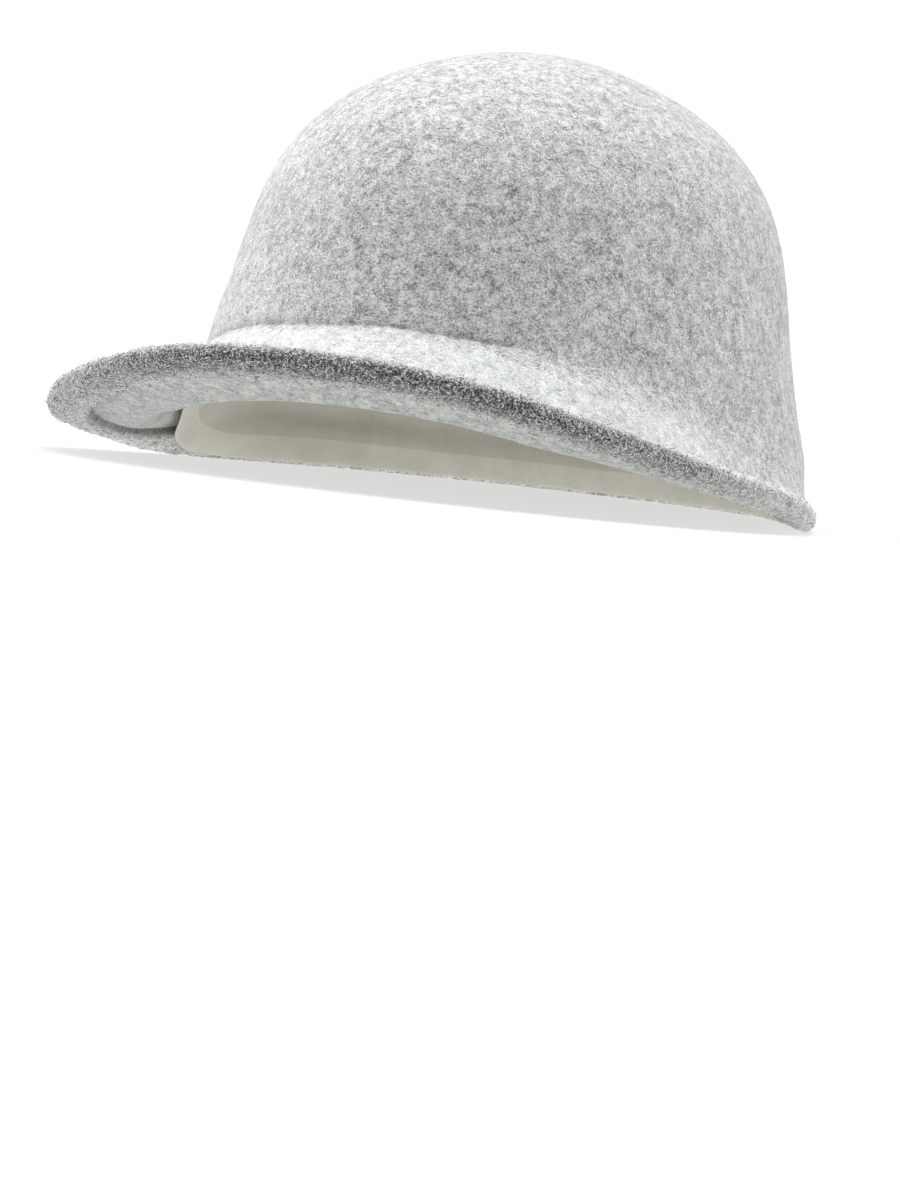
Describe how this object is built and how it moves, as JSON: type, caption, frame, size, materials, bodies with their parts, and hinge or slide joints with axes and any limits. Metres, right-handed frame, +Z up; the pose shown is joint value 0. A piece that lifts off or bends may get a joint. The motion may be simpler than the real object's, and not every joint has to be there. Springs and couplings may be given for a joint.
{
  "type": "felt baseball cap",
  "caption": "Blocked wool felt cap with a domed crown, a rising front peak, a thick turned-under edge all round and a ribbon sweatband inside.",
  "frame": {"origin": "on the surface that the cap rests on, under the middle of its bounding box", "axes": "+Z up, -Y towards the front of the peak, +X towards the wearer's left"},
  "size_m": [0.2258, 0.272, 0.1368],
  "materials": {
    "felt": "heathered light grey blocked wool felt with a short matte nap",
    "sweatband": "beige woven ribbon, matte"
  },
  "bodies": {
    "root": {"felt_body": "felt", "sweatband": "sweatband"}
  },
  "joints": []
}
